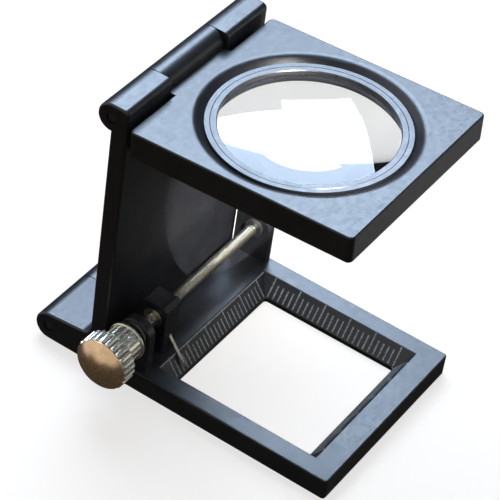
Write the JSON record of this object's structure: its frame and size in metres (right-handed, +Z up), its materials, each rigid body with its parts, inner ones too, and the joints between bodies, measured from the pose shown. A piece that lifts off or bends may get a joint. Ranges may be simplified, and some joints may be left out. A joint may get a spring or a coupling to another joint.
{
  "type": "folding linen tester loupe",
  "caption": "Folding stand loupe on a square graduated window, with a hinged lens frame and a screw-driven needle pointer.",
  "frame": {"origin": "centre of the viewing window, in the plane of the base's underside", "axes": "+X to the right along both hinge axes, -Y towards the front of the window, +Z up towards the lens"},
  "size_m": [0.0473, 0.0568, 0.0534],
  "materials": {
    "black_enamel": "satin black enamel",
    "black_anodised": "satin black anodised",
    "scale_paint": "matt paint filling",
    "optical_glass": "polished and coated",
    "nickel_plate": "bright nickel",
    "brass_cap": "polished, lacquered",
    "dark_steel": "blackened"
  },
  "bodies": {
    "base": {"base_plate": "black_enamel", "scale_graduations": "scale_paint", "left_screw_bracket": "black_enamel", "right_screw_bracket": "black_enamel", "bracket_screws": "dark_steel", "left_bearing_bush": "nickel_plate", "right_bearing_bush": "dark_steel"},
    "upright": {"upright_frame": "black_enamel", "lower_hinge_pin": "dark_steel", "upper_hinge_pin": "dark_steel"},
    "lens_head": {"lens_frame": "black_enamel", "lens_cell": "black_anodised", "lens": "optical_glass", "lens_retaining_ring": "black_anodised", "lens_seat_ring": "black_anodised"},
    "adjuster": {"lead_screw": "nickel_plate", "knob_body": "nickel_plate", "knob_neck": "nickel_plate", "knob_cap": "brass_cap", "knob_grub_screw": "dark_steel", "spring_washer": "dark_steel", "thrust_washer": "dark_steel", "end_clip": "nickel_plate"},
    "pointer": {"carriage_block": "black_enamel", "carriage_nut": "nickel_plate", "pointer_needle": "nickel_plate", "needle_clamp_screw": "dark_steel"}
  },
  "joints": [
    {"name": "upright_fold", "type": "hinge", "parent": "base", "child": "upright", "pos_m": [0, 0.0348, 0.00275], "axis": [1, 0, 0], "range_deg": [-270, 0]},
    {"name": "lens_fold", "type": "hinge", "parent": "upright", "child": "lens_head", "pos_m": [0, 0.02675, 0.0509], "axis": [1, 0, 0], "range_deg": [-267, 0]},
    {"name": "knob_turn", "type": "hinge", "parent": "base", "child": "adjuster", "pos_m": [0, 0.019, 0.0104], "axis": [1, 0, 0], "range_deg": [-20700, 1800]},
    {"name": "pointer_slide", "type": "slide", "parent": "base", "child": "pointer", "axis": [1, 0, 0], "range_m": [-0.002, 0.023]}
  ],
  "couplings": [
    {"joint": "knob_turn", "follows": "pointer_slide", "rad_per_m": -15708}
  ]
}
